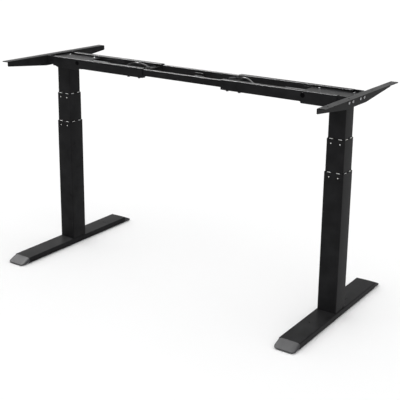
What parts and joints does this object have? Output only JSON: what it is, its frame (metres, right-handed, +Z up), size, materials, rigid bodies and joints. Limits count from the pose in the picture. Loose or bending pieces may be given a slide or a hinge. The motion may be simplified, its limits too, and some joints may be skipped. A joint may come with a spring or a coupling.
{
  "type": "height adjustable desk frame",
  "caption": "Black electric standing desk frame with telescoping square columns, flat feet, extending twin-rail crossbeam and tapered side wings for a tabletop.",
  "frame": {"origin": "on the floor, midway between the two feet", "axes": "+Z up, +X along the crossbeam to the right, -Y towards the sitter's side"},
  "size_m": [1.396, 0.68, 0.808],
  "materials": {
    "black_powder_coat": "fine textured matt black powder coat",
    "cap_plastic": "satin moulded plastic",
    "black_fastener": "black oxide",
    "bright_fastener": "bright zinc plate",
    "white_nylon": "natural nylon",
    "raw_steel": "oiled steel",
    "cast_alloy": "die cast",
    "motor_black": "semi-gloss black",
    "gloss_plug": "gloss",
    "pad_rubber": "matt",
    "lead_jacket": "PVC jacket"
  },
  "bodies": {
    "base_left": {"foot_left": "black_powder_coat", "foot_caps_left": "cap_plastic", "foot_bolts_left": "black_fastener", "outer_tube_left": "black_powder_coat", "lower_glides_left": "white_nylon", "push_tube_left": "raw_steel"},
    "middle_left": {"middle_tube_left": "black_powder_coat", "upper_glides_left": "white_nylon", "middle_sleeve_left": "raw_steel", "lift_screw_left": "raw_steel"},
    "head_left": {"inner_tube_left": "black_powder_coat", "spindle_left": "raw_steel", "head_tray_left": "black_powder_coat", "head_cover_left": "black_powder_coat", "gearbox_left": "cast_alloy", "motor_left": "motor_black", "head_screws_left": "black_fastener", "outer_rails_left": "black_powder_coat", "rail_bushes_left": "cap_plastic", "rail_plugs_left": "gloss_plug", "rail_tie_left": "black_powder_coat", "wing_left": "black_powder_coat", "wing_brackets_left": "black_powder_coat", "wing_screws_left": "bright_fastener", "motor_lead_left": "lead_jacket", "lead_fittings_left": "cap_plastic"},
    "pad_a_left": {"levelling_foot_a_left": "pad_rubber"},
    "pad_b_left": {"levelling_foot_b_left": "pad_rubber"},
    "base_right": {"foot_right": "black_powder_coat", "foot_caps_right": "cap_plastic", "foot_bolts_right": "black_fastener", "outer_tube_right": "black_powder_coat", "lower_glides_right": "white_nylon", "push_tube_right": "raw_steel"},
    "middle_right": {"middle_tube_right": "black_powder_coat", "upper_glides_right": "white_nylon", "middle_sleeve_right": "raw_steel", "lift_screw_right": "raw_steel"},
    "head_right": {"inner_tube_right": "black_powder_coat", "spindle_right": "raw_steel", "head_tray_right": "black_powder_coat", "head_cover_right": "black_powder_coat", "gearbox_right": "cast_alloy", "motor_right": "motor_black", "head_screws_right": "black_fastener", "outer_rails_right": "black_powder_coat", "rail_bushes_right": "cap_plastic", "rail_plugs_right": "gloss_plug", "rail_tie_right": "black_powder_coat", "wing_right": "black_powder_coat", "wing_brackets_right": "black_powder_coat", "wing_screws_right": "bright_fastener", "motor_lead_right": "lead_jacket", "lead_fittings_right": "cap_plastic"},
    "pad_a_right": {"levelling_foot_a_right": "pad_rubber"},
    "pad_b_right": {"levelling_foot_b_right": "pad_rubber"},
    "centre_rails": {"centre_rail_front": "black_powder_coat", "centre_rail_rear": "black_powder_coat", "centre_tie": "black_powder_coat"}
  },
  "joints": [
    {"name": "lift", "type": "slide", "parent": "base_left", "child": "middle_left", "axis": [0, 0, 1], "range_m": [-0.105, 0.221]},
    {"name": "lift_head_left", "type": "slide", "parent": "middle_left", "child": "head_left", "axis": [0, 0, 1], "range_m": [-0.105, 0.221]},
    {"name": "width_left", "type": "slide", "parent": "head_left", "child": "centre_rails", "axis": [1, 0, 0], "range_m": [-0.148, 0.202]},
    {"name": "width_right", "type": "slide", "parent": "centre_rails", "child": "head_right", "axis": [1, 0, 0], "range_m": [-0.148, 0.202]},
    {"name": "lift_head_right", "type": "slide", "parent": "head_right", "child": "middle_right", "axis": [0, 0, -1], "range_m": [-0.105, 0.221]},
    {"name": "lift_base_right", "type": "slide", "parent": "middle_right", "child": "base_right", "axis": [0, 0, -1], "range_m": [-0.105, 0.221]},
    {"name": "level_a_left", "type": "slide", "parent": "base_left", "child": "pad_a_left", "axis": [0, 0, -1], "range_m": [0, 0.008]},
    {"name": "level_b_left", "type": "slide", "parent": "base_left", "child": "pad_b_left", "axis": [0, 0, -1], "range_m": [0, 0.008]},
    {"name": "level_a_right", "type": "slide", "parent": "base_right", "child": "pad_a_right", "axis": [0, 0, -1], "range_m": [0, 0.008]},
    {"name": "level_b_right", "type": "slide", "parent": "base_right", "child": "pad_b_right", "axis": [0, 0, -1], "range_m": [0, 0.008]}
  ],
  "couplings": [
    {"joint": "lift_head_left", "follows": "lift", "ratio": 1},
    {"joint": "lift_head_right", "follows": "lift", "ratio": 1},
    {"joint": "lift_base_right", "follows": "lift", "ratio": 1}
  ]
}
